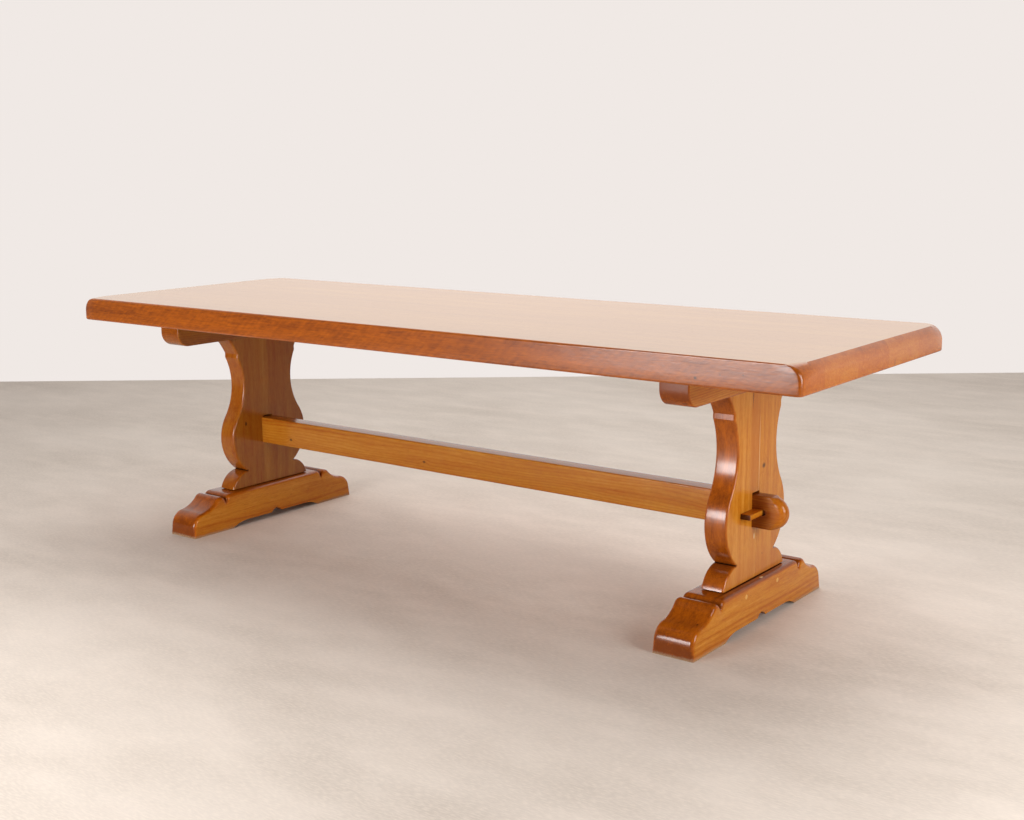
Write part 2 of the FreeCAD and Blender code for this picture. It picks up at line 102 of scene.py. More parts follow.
class TableSizes(bpy.types.PropertyGroup):
    """Sizes of the rounded edges and of the outlines that the mesh pieces follow."""
    end_roll: length("End roll", "Height of the round along the upper edge of the slab's ends", 0.032)
    corner_roll: length("Corner roll", "The same at the slab's corners, which wear most", 0.042)
    side_roll: length("Side roll", "Round along the upper edge of the slab's long sides", 0.008)
    under_roll: length("Under roll", "Round along the slab's lower edge", 0.006)
    top_corner: length("Top corner", "Round of the slab's corners in plan", 0.011)
    upright_roll: length("Upright arris", "Round along the uprights' shaped edges", 0.0065)
    cusp_draw: length("Cusp draw", "How far the cusp lies inside the belly", 0.055)
    waist_draw: length("Waist draw", "How far the waist lies inside the belly", 0.055)
    ledge_lean: length("Ledge lean", "How far the steep ledge under the crown leans in", 0.0008)
    crown_bow: length("Crown bow", "Swell of the crown's edge", 0.0015)
    base_bulge: length("Base bulge", "Swell of the ovolo at the upright's base", 0.0135)
    base_gap: length("Base gap", "Height of the dark line round the upright's lower end", 0.003)
    base_undercut: length("Base undercut", "Depth of that line", 0.008)
    base_rear: length("Rear base", "Half the width on the foot, behind the upright's middle", 0.162)
    base_front: length("Front base", "The same in front of the middle", 0.17)
    belly_half: length("Belly", "Half the width of the belly", 0.16)
    crown_half: length("Crown", "Half the width under the bearer", 0.161)
    foot_roll: length("Foot arris", "Round along the feet's upper edges", 0.012)
    toe: length("Toe", "Length of the toe in front of the notch", 0.1365)
    toe_end: length("Toe end", "Height of the toe's upright end", 0.03)
    nose: length("Nose", "Radius of the toe's nose", 0.045)
    cove: length("Cove", "Radius of the toe's hollow", 0.093)
    crest: length("Crest", "Radius of the toe's crest", 0.022)
    crest_drop: length("Crest drop", "How far the crest stays under the foot's upper face", 0.0025)
    notch: length("Notch", "Depth of the V notch behind the crest", 0.0195)
    pad: length("Pad", "Length of the foot that stands on the floor", 0.16)
    arch: length("Arch", "Rise of the arch under the foot", 0.0165)
    arch_ramp: length("Arch ramp", "Length of the arch's rising ends", 0.057)
    arch_point: length("Arch point", "Half the width of the point in the arch's middle", 0.022)
    arch_point_rise: length("Arch point rise", "Height of that point", 0.0135)
    arch_point_swell: length("Arch point swell", "Swell of its two sides", 0.002)
    bearer_end: length("Bearer end", "Radius of the bearers' lower ends", 0.042)
    bearer_roll: length("Bearer arris", "Round along the bearers' edges", 0.0045)
    rail_roll: length("Stretcher arris", "Round along the stretcher's edges", 0.004)
    tenon_roll: length("Tenon nose", "Round of the through tenon's nose", 0.0175)
    tenon_arris: length("Tenon arris", "Round along the tenon's straight edges", 0.003)
    key_roll: length("Key arris", "Round along the keys' edges", 0.0026)
    peg: length("Peg", "Diameter of the pegs", 0.0125)


class TableColours(bpy.types.PropertyGroup):
    """Colours of the stained and varnished wood and of the stage, in sRGB."""
    honey: colour("Honey", "Palest wood under amber varnish", "D6953A")
    amber: colour("Amber", "Wood that took little stain", "C27A20")
    cinnamon: colour("Cinnamon", "Wood that took more stain, as edges do", "AA570C")
    chestnut: colour("Chestnut", "Darkest streaks", "70330A")
    # Painted shade: dark red-brown laid on the tenons' roots, in the uprights' shadow
    tenon_root_shade: colour("Wine", "Heartwood of the tenons", "6A2608")
    # Umber also paints shade: over the left trestle, the stretcher and the keys' ends, in the uprights' creases and
    # along the gap under each upright
    umber: colour("Umber", "Knots, cracks and pores", "341707")
    # Painted reflection: the pale tone laid on the top's upper face stands in for the white room that its film mirrors
    glare_tone: colour("Wheat", "Bleached and waxed upper face", "E4C8A6")
    # Chalk also paints a glint of light on the right foot, next to the upright's lower end
    chalk: colour("Chalk", "Filler and worn spots", "E8CF9A")
    dust: colour("Dust", "Scuffed wood next to the floor", "9C8468")
    floor: colour("Floor", "Pale trowelled concrete", "D6CBC0")
    floor_cloud: colour("Floor cloud", "Darker clouds in the concrete", "BEB2A6")
    floor_smear: colour("Floor smear", "Pale smears of the trowel", "E2D6CA")
    floor_scratch: colour("Floor scratch", "Fine pale scratches", "E6DACC")
    zinc: colour("Zinc", "Bright zinc on the screws", "A9ADB2")
    zinc_dull: colour("Dull zinc", "Clouds in the zinc", "7E8388")
    wall: colour("Wall", "White behind the table", "F0E9E5")


def linear(text):
    """sRGB hex to linear red, green, blue and alpha."""
    parts = [int(text[k:k + 2], 16) / 255 for k in (0, 2, 4)]
    return [p / 12.92 if p <= 0.04045 else ((p + 0.055) / 1.055) ** 2.4 for p in parts] + [1.0]


# Materials

def put(tree, kind, sockets=None, stops=(), **settings):
    """Adds a node with its settings, and sets or links its inputs."""
    made = tree.nodes.new(kind)
    for key, value in settings.items():
        setattr(made, key, value)
    for key, value in (sockets or {}).items():
        if isinstance(value, bpy.types.NodeSocket):
            tree.links.new(value, made.inputs[key])
        else:
            made.inputs[key].default_value = value
    for number, (place, tone) in enumerate(stops):
        stop = made.color_ramp.elements[number] if number < 2 else made.color_ramp.elements.new(place)
        stop.position = place
        stop.color = tone
    return made


def blank(name):
    """New material with its tree and shader."""
    material = bpy.data.materials.new(name)
    material.use_nodes = True
    return material, material.node_tree, material.node_tree.nodes["Principled BSDF"]


def nearness(tree, place, middle, reach):
    """Distance from a mark's middle, counted in its reach along each axis."""
    away = put(tree, "ShaderNodeVectorMath", {0: place, 1: middle}, operation="SUBTRACT").outputs[0]
    counted = put(tree, "ShaderNodeVectorMath", {0: away, 1: reach}, operation="DIVIDE").outputs[0]
    return put(tree, "ShaderNodeVectorMath", {0: counted}, operation="LENGTH").outputs["Value"]


GRAIN_TURN = {"x": (0, 0, 0), "y": (0, 0, -QUARTER), "z": (0, QUARTER, 0)}
RING_UNIT = 0.314  # width of one ring of the wave texture at a scale of 1
RING_STOPS = ((0.0, 0.9), (0.2, 0.5), (0.55, 0.2), (0.85, 0.45), (1.0, 0.9))  # darkness from one ring to the next
KNOT_PULL = 3.2  # how many times its own size a knot bends the rings round it


def varnished_elm(name, grain, pith, stain=0.35, edge=0.0, end_grain=0.2, ring=0.006, depth=0.3, streaks=0.8,
                  marks=(), gloss=0.2, film=1.38, flat="x", wear_and_glare=0.0, scuff=0.0, chatter=0.0, figure=0.0):
    """Elm, planed, stained and finished with an amber varnish.

    To the eye: soft streaks along the grain, faint growth rings that a cut shows as cathedrals, fine dark pores, edges
    and end grain that took more stain, and a smooth film that mirrors lamps.
    The grain runs along one axis, the broad faces look along flat, and pith is where the tree's middle lies beside
    the piece, once the grain is turned along X. stain goes from pale (0) to dark (1), and edge and end_grain are what
    such faces add to it. ring is a ring's width, and depth, streaks and figure weigh the rings, the streaks and the
    slanting figure of the edge faces. marks are (place, reach, colour, strength, swirl): knots, cracks and filler, and
    painted shade and painted glints. gloss is the film's roughness and film its index. worn pales the upper face as a
    painted reflection of the white room that the film mirrors, scuff is the height of the dusty rim next to the floor,
    and chatter is how much of the plane's short marks shows through the film.
    """
    colours = bpy.context.scene.table_colours
    material, tree, shader = blank(name)
    spot = put(tree, "ShaderNodeTexCoord").outputs
    place = spot["Object"]
    lay = put(tree, "ShaderNodeMapping", {"Vector": place, "Location": pith, "Rotation": GRAIN_TURN[grain]}).outputs[0]

    # The trunk's sway: bends of 10 mm or so over half a metre, and finer ones over 60 mm
    drift = put(tree, "ShaderNodeVectorMath", {0: lay, 1: (1.7, 9, 9)}, operation="MULTIPLY").outputs[0]
    sway = put(tree, "ShaderNodeTexNoise",
               {"Vector": drift, "Scale": 1, "Detail": 2.5, "Roughness": 0.55}).outputs["Color"]
    grown = put(tree, "ShaderNodeVectorMath", {0: sway, 1: (0, 0.034, 0.034), 2: lay},
                operation="MULTIPLY_ADD").outputs[0]

    # Rings, drawn out along the grain and bent round the knots
    swirl = 0.0
    for at, reach, _, _, turn in marks:
        if turn:
            far = nearness(tree, place, at, [KNOT_PULL * r for r in reach])
            near = put(tree, "ShaderNodeMapRange", {0: far, 1: 1, 2: 0, 3: 0, 4: turn},
                       interpolation_type="SMOOTHSTEP").outputs[0]
            swirl = put(tree, "ShaderNodeMath", {0: near, 1: swirl}, operation="ADD").outputs[0]
    drawn = put(tree, "ShaderNodeVectorMath", {0: grown, 1: (0.05, 1, 1)}, operation="MULTIPLY").outputs[0]
    rings = put(tree, "ShaderNodeTexWave",
                {"Vector": drawn, "Scale": RING_UNIT / ring, "Distortion": 3.0, "Detail": 2, "Detail Scale": 0.7,
                 "Phase Offset": swirl},
                wave_type="RINGS", rings_direction="X", wave_profile="SAW").outputs["Fac"]
    stops = [(at, (level,) * 3 + (1,)) for at, level in RING_STOPS]
    ringed = put(tree, "ShaderNodeValToRGB", {0: rings}, stops).outputs["Color"]

    # Streaks 30 mm wide, fibres 2.5 mm apart, coarser than in the wood so that they show, short flecks 6 mm wide, and
    # pores 0.8 mm wide and 14 mm long: each scale is one over the length and the widths in metres
    patterns = []
    for scale, detail, roughness in (((0.9, 30, 30), 3, 0.6), ((12, 400, 400), 3, 0.65),
                                     ((45, 160, 160), 2, 0.6), ((70, 1250, 1250), 1, 0.5)):
        spread = put(tree, "ShaderNodeVectorMath", {0: grown, 1: scale}, operation="MULTIPLY").outputs[0]
        patterns.append(put(tree, "ShaderNodeTexNoise",
                            {"Vector": spread, "Scale": 1, "Detail": detail, "Roughness": roughness}).outputs["Fac"])
    streak, fibre, fleck, grit = patterns
    pore = put(tree, "ShaderNodeMapRange", {0: grit, 1: 0.63, 2: 0.76, 3: 0, 4: 0.4}).outputs[0]

    # Share of the stain: rings show most on the broad faces, and streaks are calmer on end grain
    normal = put(tree, "ShaderNodeSeparateXYZ", {0: spot["Normal"]}).outputs
    along = put(tree, "ShaderNodeMath", {0: normal["xyz".index(grain)], 1: 4}, operation="POWER").outputs[0]
    broad = 1.0
    if edge:
        broad = put(tree, "ShaderNodeMath", {0: normal["xyz".index(flat)], 1: 4}, operation="POWER").outputs[0]
    shown = put(tree, "ShaderNodeMath", {0: broad, 1: 0.85 * depth, 2: 0.15 * depth},
                operation="MULTIPLY_ADD").outputs[0]
    calm = put(tree, "ShaderNodeMath", {0: along, 1: -0.6 * streaks, 2: streaks}, operation="MULTIPLY_ADD").outputs[0]
    layers = [(streak, calm, 0.5), (ringed, shown, 0.42), (fibre, 0.45, 0.5), (fleck, 0.3, 0.5)]
    if figure:
        # Slanting flecks 60 mm long and 7 mm wide
        slant = put(tree, "ShaderNodeMapping", {"Vector": grown, "Rotation": (0, 0.65, 0)}).outputs[0]
        spread = put(tree, "ShaderNodeVectorMath", {0: slant, 1: (16, 20, 140)}, operation="MULTIPLY").outputs[0]
        ripple = put(tree, "ShaderNodeTexNoise",
                     {"Vector": spread, "Scale": 1, "Detail": 2, "Roughness": 0.55}).outputs["Fac"]
        narrow = put(tree, "ShaderNodeMath", {0: broad, 1: -figure, 2: figure}, operation="MULTIPLY_ADD").outputs[0]
        layers.append((ripple, narrow, 0.5))
    share = stain
    for layer, weight, level in layers:
        shifted = put(tree, "ShaderNodeMath", {0: layer, 1: level}, operation="SUBTRACT").outputs[0]
        share = put(tree, "ShaderNodeMath", {0: shifted, 1: weight, 2: share}, operation="MULTIPLY_ADD").outputs[0]
    for facing, weight, away in ((along, end_grain, 0), (broad, -edge, edge)):
        if weight:
            added = put(tree, "ShaderNodeMath", {0: facing, 1: weight, 2: away}, operation="MULTIPLY_ADD").outputs[0]
            share = put(tree, "ShaderNodeMath", {0: share, 1: added}, operation="ADD").outputs[0]
    stains = [linear(getattr(colours, tone)) for tone in ("honey", "amber", "cinnamon", "chestnut")]
    body = put(tree, "ShaderNodeValToRGB", {0: share}, list(zip((0.0, 0.3, 0.62, 1.0), stains))).outputs["Color"]

    # What lies over the stain, in turn: the painted reflection on the upper face, scuffs, pores and marks, each a share
    # and its colour; the marks hold knots, cracks and filler, and also painted shade and painted glints
    over = []
    # Painted reflection: faces that look up are paled, standing in for the white room mirrored in the film
    if wear_and_glare:
        glare_share = put(tree, "ShaderNodeMapRange", {0: normal[2], 1: 0.9, 2: 1, 3: 0, 4: wear_and_glare}).outputs[0]
        over.append((glare_share, colours.glare_tone))
    if scuff:
        up = put(tree, "ShaderNodeSeparateXYZ", {0: place}).outputs[2]
        ragged = put(tree, "ShaderNodeMath", {0: fleck, 1: -scuff, 2: up}, operation="MULTIPLY_ADD").outputs[0]
        rim = put(tree, "ShaderNodeMapRange", {0: ragged, 1: 0.3 * scuff, 2: -0.4 * scuff, 3: 0, 4: 0.75}).outputs[0]
        over.append((rim, colours.dust))
    over.append((pore, colours.umber))
    for at, reach, tone, strength, _ in marks:
        far = nearness(tree, place, at, reach)
        ragged = put(tree, "ShaderNodeMath", {0: fibre, 1: 0.5, 2: far}, operation="MULTIPLY_ADD").outputs[0]
        hit = put(tree, "ShaderNodeMapRange", {0: ragged, 1: 1.15, 2: 0.45, 3: 0, 4: strength},
                  interpolation_type="SMOOTHSTEP").outputs[0]
        over.append((hit, getattr(colours, tone)))
    for part, tone in over:
        body = put(tree, "ShaderNodeMix", {0: part, 6: body, 7: linear(tone)}, data_type="RGBA").outputs[2]

    # The film follows the plane's shallow waves, 60 mm long, and the fibres, and sinks a little into the pores
    relief = put(tree, "ShaderNodeTexNoise", {"Vector": lay, "Scale": 16, "Detail": 1}).outputs["Fac"]
    for layer, weight in ((fibre, 0.09), (pore, -0.05), (fleck, chatter)):
        if weight:
            relief = put(tree, "ShaderNodeMath", {0: layer, 1: weight, 2: relief}, operation="MULTIPLY_ADD").outputs[0]
    skin = put(tree, "ShaderNodeBump", {"Height": relief, "Strength": 0.3, "Distance": 0.001}).outputs[0]
    tree.links.new(body, shader.inputs["Base Color"])
    tree.links.new(skin, shader.inputs["Normal"])
    tree.links.new(skin, shader.inputs["Coat Normal"])
    shader.inputs["Roughness"].default_value = 0.55
    shader.inputs["Specular IOR Level"].default_value = 0.0  # the film does the mirroring
    shader.inputs["Coat Weight"].default_value = 1.0
    shader.inputs["Coat Roughness"].default_value = gloss
    shader.inputs["Coat IOR"].default_value = film
    return material


def zinc_steel(name):
    """Zinc-plated steel, as on coach screws: grey, a little cloudy, with a dull shine."""
    colours = bpy.context.scene.table_colours
    material, tree, shader = blank(name)
    place = put(tree, "ShaderNodeTexCoord").outputs["Object"]
    cloud = put(tree, "ShaderNodeTexNoise", {"Vector": place, "Scale": 400, "Detail": 3}).outputs["Fac"]
    tone = put(tree, "ShaderNodeMix", {0: cloud, 6: linear(colours.zinc), 7: linear(colours.zinc_dull)},
               data_type="RGBA").outputs[2]
    dull = put(tree, "ShaderNodeMapRange", {0: cloud, 1: 0.3, 2: 0.7, 3: 0.3, 4: 0.45}).outputs[0]
    tree.links.new(tone, shader.inputs["Base Color"])
    tree.links.new(dull, shader.inputs["Roughness"])
    shader.inputs["Metallic"].default_value = 1.0
    return material


def trowelled_concrete(name):
    """Concrete, power-trowelled and worn pale: cloudy over half a metre, with fine scratches and no gloss."""
    colours = bpy.context.scene.table_colours
    material, tree, shader = blank(name)
    place = put(tree, "ShaderNodeTexCoord").outputs["Object"]
    tone = linear(colours.floor)
    # Clouds, smears and scratches: scale as one over a size in metres, detail, roughness, what shows, weight and colour
    for scale, detail, roughness, low, high, weight, over in (
            ((1.1, 2.0, 1), 7, 0.62, 0.34, 0.66, 0.8, colours.floor_cloud),
            ((3.5, 9, 1), 5, 0.6, 0.45, 0.75, 0.5, colours.floor_smear),
            ((60, 230, 1), 3, 0.5, 0.42, 0.7, 0.42, colours.floor_scratch)):
        spread = put(tree, "ShaderNodeVectorMath", {0: place, 1: scale}, operation="MULTIPLY").outputs[0]
        layer = put(tree, "ShaderNodeTexNoise",
                    {"Vector": spread, "Scale": 1, "Detail": detail, "Roughness": roughness}).outputs["Fac"]
        share = put(tree, "ShaderNodeMapRange", {0: layer, 1: low, 2: high, 3: 0, 4: weight}).outputs[0]
        tone = put(tree, "ShaderNodeMix", {0: share, 6: tone, 7: linear(over)}, data_type="RGBA").outputs[2]
    # The scratches, drawn last, also catch the light
    skin = put(tree, "ShaderNodeBump", {"Height": layer, "Strength": 0.15, "Distance": 0.001}).outputs[0]
    tree.links.new(tone, shader.inputs["Base Color"])
    tree.links.new(skin, shader.inputs["Normal"])
    shader.inputs["Roughness"].default_value = 0.75
    return material


# Outlines: points (across, up) in metres, with the wood on the left of the way

def sweep(centre, radius, start, end, count):
    """Points on an arc from one angle to another."""
    angles = [start + (end - start) * k / count for k in range(count + 1)]
    return [Vector((centre[0] + radius * math.cos(a), centre[1] + radius * math.sin(a))) for a in angles]


def bowed(start, end, bulge, count):
    """Points on an arc that stands off its chord by bulge, to the right of the way."""
    start, end = Vector(start), Vector(end)
    chord = end - start
    right = Vector((chord.y, -chord.x)).normalized()
    radius = (chord.length_squared / 4 + bulge ** 2) / (2 * bulge)
    centre = (start + end) / 2 + right * (bulge - radius)
    first = math.atan2(start.y - centre.y, start.x - centre.x)
    turn = 2 * math.asin(chord.length / (2 * radius))
    return sweep(centre, radius, first, first + turn, count)


def mirrored(points):
    """The same points on the other side of the middle, in the other order."""
    return [Vector((-p[0], p[1])) for p in reversed(points)]


def without_repeats(points):
    """Points without those that lie on the one before."""
    kept = [points[0]]
    for p in points[1:]:
        if (p - kept[-1]).length > 1e-5:
            kept.append(p)
    return kept


def upright_edge(sizes, base):
    """Shaped edge of an upright on a half base, from the foot up to the bearer, counted from its middle."""
    low, high = FOOT_HIGH.z, BEARER_LOW.z
    # Heights as shares of the way from the foot to the bearer
    cusp_z, belly_z, waist_z, ledge_z, notch_z = [low + s * (high - low) for s in (0.113, 0.33, 0.692, 0.869, 0.896)]
    cusp = (sizes.belly_half - sizes.cusp_draw, cusp_z)
    rise, climb = belly_z - cusp_z, waist_z - belly_z
    belly = (sizes.cusp_draw ** 2 + rise ** 2) / (2 * sizes.cusp_draw)
    waist = (sizes.waist_draw ** 2 + climb ** 2) / (2 * sizes.waist_draw) - belly
    belly_at = (sizes.belly_half - belly, belly_z)
    waist_at = (sizes.belly_half - sizes.waist_draw + waist, waist_z)
    lean = math.asin(climb / (belly + waist))
    ledge_turn = math.asin((ledge_z - waist_z) / waist)
    edge = bowed((base, low), cusp, sizes.base_bulge, 14)
    edge += sweep(belly_at, belly, -math.asin(rise / belly), lean, 44)
    edge += sweep(waist_at, waist, math.pi + lean, math.pi - ledge_turn, 34)
    notch = (edge[-1].x - sizes.ledge_lean, notch_z)
    edge += list(reversed(bowed((sizes.crown_half, high), notch, sizes.crown_bow, 12)))
    return without_repeats(edge)


def foot_edge(sizes):
    """Upper outline of a foot, from the rear end over the top to the front end."""
    end, high = FOOT_HIGH.y, FOOT_HIGH.z
    shoulder = end - sizes.toe
    notch_z = high - sizes.notch
    nose_at = Vector((end - sizes.nose, sizes.toe_end))
    crest_z = high - sizes.crest_drop - sizes.crest
    drop = notch_z - crest_z
    crest_at = Vector((shoulder + math.sqrt(sizes.crest ** 2 - drop ** 2), crest_z))
    way = crest_at - nose_at
    one, two = sizes.nose + sizes.cove, sizes.crest + sizes.cove
    along = (way.length_squared + one ** 2 - two ** 2) / (2 * way.length)
    aside = math.sqrt(one ** 2 - along ** 2)
    cove_at = nose_at + way.normalized() * along + Vector((way.y, -way.x)).normalized() * aside
    to_nose, to_crest = nose_at - cove_at, crest_at - cove_at
    # The upright end, with points on the way so that the arris can open out there
    half = [Vector((end, 0)), Vector((end, 0.012)), Vector((end, 0.02))]
    half += sweep(nose_at, sizes.nose, 0, math.atan2(-to_nose.y, -to_nose.x), 22)
    half += sweep(cove_at, sizes.cove, math.atan2(to_nose.y, to_nose.x), math.atan2(to_crest.y, to_crest.x), 18)
    fall = math.pi - math.asin(drop / sizes.crest)
    half += sweep(crest_at, sizes.crest, math.atan2(-to_crest.y, -to_crest.x), fall, 26)
    half += sweep((shoulder - sizes.notch, notch_z), sizes.notch, 0, QUARTER, 14)
    half += [Vector((shoulder * k / 12, high)) for k in range(10, 0, -1)]
    return without_repeats(half + mirrored(half))


def foot_underside(sizes):
    """Arch under a foot, from the front pad to the rear pad, with a point in the middle."""
    start = FOOT_HIGH.y - sizes.pad
    ramp, rise = sizes.arch_ramp, sizes.arch
    radius = (ramp ** 2 + rise ** 2) / (2 * rise)
    turn = math.asin(ramp / radius)
    half = [Vector((start, 0))]
    half += sweep((start - ramp, rise - radius), radius, QUARTER - turn, QUARTER, 10)
    half += bowed((sizes.arch_point, rise), (0, rise + sizes.arch_point_rise), sizes.arch_point_swell, 6)
    rear = without_repeats(half)
    front = [Vector((-p.x, p.y)) for p in rear]
    return front[:-1] + list(reversed(rear))


# Mesh pieces

def meshed(name, form):
    """Turns a bmesh into a mesh with its normals outwards."""
    bmesh.ops.remove_doubles(form, verts=form.verts, dist=1e-6)
    bmesh.ops.recalc_face_normals(form, faces=form.faces)
    mesh = bpy.data.meshes.new(name)
    form.to_mesh(mesh)
    form.free()
    return mesh


def settle(name, form, material, node_names, body):
    """Turns a bmesh into a piece that stands for CAD nodes and rides on their body."""
    mesh = meshed(name, form)
    for face in mesh.polygons:
        face.use_smooth = True
    mesh.set_sharp_from_angle(angle=math.radians(14))  # more than the turn between two faces of a round
    mesh.materials.append(material)
    piece = bpy.data.objects.new(name, mesh)
    bpy.context.scene.collection.objects.link(piece)
    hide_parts(*node_names)
    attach(piece, body)
    return piece


def skinned(form, rings, capped=True):
    """Joins closed rings of vertices, and caps the first and the last."""
    size = len(rings[0])
    for one, two in zip(rings, rings[1:]):
        for k in range(size):
            form.faces.new((one[k], one[(k + 1) % size], two[(k + 1) % size], two[k]))
    if capped:
        form.faces.new(rings[0])
        form.faces.new(rings[-1])
    return form


def moulded(chain, closing, roll, thick, lay, steps=8, mitred=0.25):
    """Flat piece whose outline runs along a chain with soft arrises and closes along plain edges.

    roll is the arris radius, one for each point. thick is half the thickness, and lay(across, up, through) gives the
    place in space. mitred is the sine of the sharpest inner corner that is mitred and not rounded.
    """
    form = bmesh.new()
    count = len(chain)
    # Each column is a point of the chain, the way in from it and its arris; mitres are kept from running far in
    columns = []
    for number, point in enumerate(chain):
        before = (point - chain[number - 1]).normalized() if number > 0 else None
        after = (chain[number + 1] - point).normalized() if number < count - 1 else None
        lefts = [Vector((-d.y, d.x)) for d in (before, after) if d is not None]
        if len(lefts) == 1:
            ends = closing or chain
            way = (Vector(ends[-1] if number == 0 else ends[0]) - point).normalized()
            columns.append((point, way / max(0.3, way.dot(lefts[0])), roll[number]))
            continue
        turn = before.x * after.y - before.y * after.x
        if turn < -mitred:
            angle = lefts[0].angle_signed(lefts[1])
            for k in range(9):
                part = Matrix.Rotation(-angle * k / 8, 2) @ lefts[0]
                columns.append((point, part, roll[number]))
        else:
            middle = (lefts[0] + lefts[1]).normalized()
            columns.append((point, middle / max(0.4, middle.dot(lefts[0])), roll[number]))
    rows = []
    for side in (-1, 1):
        order = range(steps, -1, -1) if side < 0 else range(steps + 1)
        for k in order:
            angle = QUARTER * k / steps
            row = []
            for point, inward, radius in columns:
                p = point + inward * (radius * (1 - math.cos(angle)))
                through = side * thick - side * radius * (1 - math.sin(angle))
                row.append(form.verts.new(lay(p.x, p.y, through)))
            rows.append(row)
    for under, over in zip(rows, rows[1:]):
        for k in range(len(columns) - 1):
            form.faces.new((under[k], under[k + 1], over[k + 1], over[k]))
    low_rim = [form.verts.new(lay(p[0], p[1], -thick)) for p in closing]
    high_rim = [form.verts.new(lay(p[0], p[1], thick)) for p in closing]
    form.faces.new(rows[0] + low_rim)
    form.faces.new(rows[-1] + high_rim)
    start = [row[0] for row in rows]
    end = [row[-1] for row in rows]
    if closing:
        form.faces.new(end + [high_rim[0], low_rim[0]])
        form.faces.new(start + [high_rim[-1], low_rim[-1]])
        for k in range(len(closing) - 1):
            form.faces.new((low_rim[k], low_rim[k + 1], high_rim[k + 1], high_rim[k]))
    else:
        form.faces.new(end + list(reversed(start)))
    return form


def upright_lay(x):
    """Places an outline across the table, at a trestle."""
    return lambda across, up, through: (x + through, across, up)


def undercut_base(form, x, low, joint, gap, depth):
    """Cuts in under the lower end of an upright's board, so that a dark line parts it from the foot."""
    geometry = form.verts[:] + form.edges[:] + form.faces[:]
    bmesh.ops.bisect_plane(form, geom=geometry, dist=1e-7, plane_co=(0, 0, low + gap), plane_no=(0, 0, 1))
    for vert in form.verts:
        if vert.co.z < low + 1e-5:
            vert.co.x -= math.copysign(min(depth, abs(vert.co.x - x)), vert.co.x - x)
            # Not at the joint, where the two boards meet
            if abs(vert.co.y - joint) > 0.03:
                vert.co.y -= math.copysign(depth, vert.co.y - joint)


def rounded_plan(half_x, half_y, corner, runs):
    """Rounded rectangle in plan, with its long sides in a number of runs and its ends in 20."""
    flat_x, flat_y = 2 * (half_x - corner), 2 * (half_y - corner)
    sides = ((1, -1, 0, flat_y, 20), (1, 1, -flat_x, 0, runs), (-1, 1, 0, -flat_y, 20), (-1, -1, flat_x, 0, runs))
    points = []
    for number, (sx, sy, run_x, run_y, count) in enumerate(sides):
        start = (number - 1) * QUARTER
        points += sweep((sx * (half_x - corner), sy * (half_y - corner)), corner, start, start + QUARTER, 6)
        a = points[-1]
        points += [Vector((a.x + run_x * k / count, a.y + run_y * k / count)) for k in range(1, count)]
    return points


def roll_inset(roll, drop, share=1.0):
    """How far a round stands back at a depth below the top. roll is its height, and its width is a share of that."""
    radius = roll * (1 + share ** 2) / (2 * share)
    rest = max(0, roll - drop)
    return radius - math.sqrt(radius ** 2 - rest ** 2)


def slab_form(sizes):
    """Whole slab as rings of plan outlines, round at the ends, with a hand-planed arris that varies along the sides."""
    half = Vector((CAD_HIGH.x, CAD_HIGH.y))
    low, high = SLAB_LOW.z, CAD_HIGH.z
    plan = rounded_plan(half.x, half.y, sizes.top_corner, 54)
    form = bmesh.new()
    rolls = (sizes.corner_roll, sizes.end_roll, sizes.side_roll)
    drops = {roll * (1 - math.sin(QUARTER * k / 12)) for roll in rolls for k in range(13)}
    rings = []
    for k in range(8, -1, -1):
        inset = sizes.under_roll * (1 - math.cos(QUARTER * k / 8))
        up = low + sizes.under_roll * (1 - math.sin(QUARTER * k / 8))
        rings.append([form.verts.new((p.x * (1 - inset / half.x), p.y * (1 - inset / half.y), up)) for p in plan])
    for drop in sorted(drops, reverse=True):
        ring = []
        for p in plan:
            # The long arris is rounder to the left and wavy, and the corners wear over the last 30 mm
            wear_and_glare = 0.85 - 0.32 * p.x / half.x + 0.12 * math.sin(5.3 * p.x + 2.1 * p.y) + 0.06 * math.sin(13 * p.x)
            near = math.exp(-((half.y - abs(p.y)) / 0.03) ** 2)
            end = sizes.end_roll * (0.96 + 0.04 * math.sin(9 * p.y + p.x))
            back_x = roll_inset(end + (sizes.corner_roll - end) * near, drop, 0.5 + 0.5 * near)
            back_y = roll_inset(sizes.side_roll * min(1, wear_and_glare), drop)
            ring.append(form.verts.new((p.x * (1 - back_x / half.x), p.y * (1 - back_y / half.y), high - drop)))
        rings.append(ring)
    # One more ring, 2.5 mm inside the last, keeps the light on the upper face flat
    rings.append([form.verts.new((v.co.x * 0.998, v.co.y * 0.994, high)) for v in rings[-1]])
    return skinned(form, rings)


def sawn(form, low, high):
    """Keeps what lies between two planes across the table's width, and closes the cuts."""
    for level, way in ((low, -1), (high, 1)):
        if level is None:
            continue
        geometry = form.verts[:] + form.edges[:] + form.faces[:]
        found = bmesh.ops.bisect_plane(form, geom=geometry, dist=1e-7, plane_co=(0, level, 0), plane_no=(0, way, 0),
                                       clear_outer=True)
        edges = [g for g in found["geom_cut"] if isinstance(g, bmesh.types.BMEdge)]
        bmesh.ops.edgeloop_fill(form, edges=edges)
    return form


def rail_form(sizes):
    """Straight run of the stretcher, planed by hand, as rounded sections along its length."""
    low, high = RAIL_LOW.z + sizes.rail_roll, RAIL_HIGH.z - sizes.rail_roll
    form = bmesh.new()
    rings = []
    for k in range(41):
        x = -INNER_FACE + 2 * INNER_FACE * k / 40
        # Half a millimetre at most comes off, unevenly
        wave = 0.0003 * math.sin(7 * x + 1) + 0.0002 * math.sin(23 * x)
        across = RAIL_HALF - sizes.rail_roll - abs(wave)
        ring = []
        for number, centre in enumerate(((across, low), (across, high), (-across, high), (-across, low))):
            start = (number - 1) * QUARTER
            ring += sweep(centre, sizes.rail_roll, start, start + QUARTER, 8)
        rings.append([form.verts.new((x, p.x, p.y)) for p in ring])
    return skinned(form, rings)


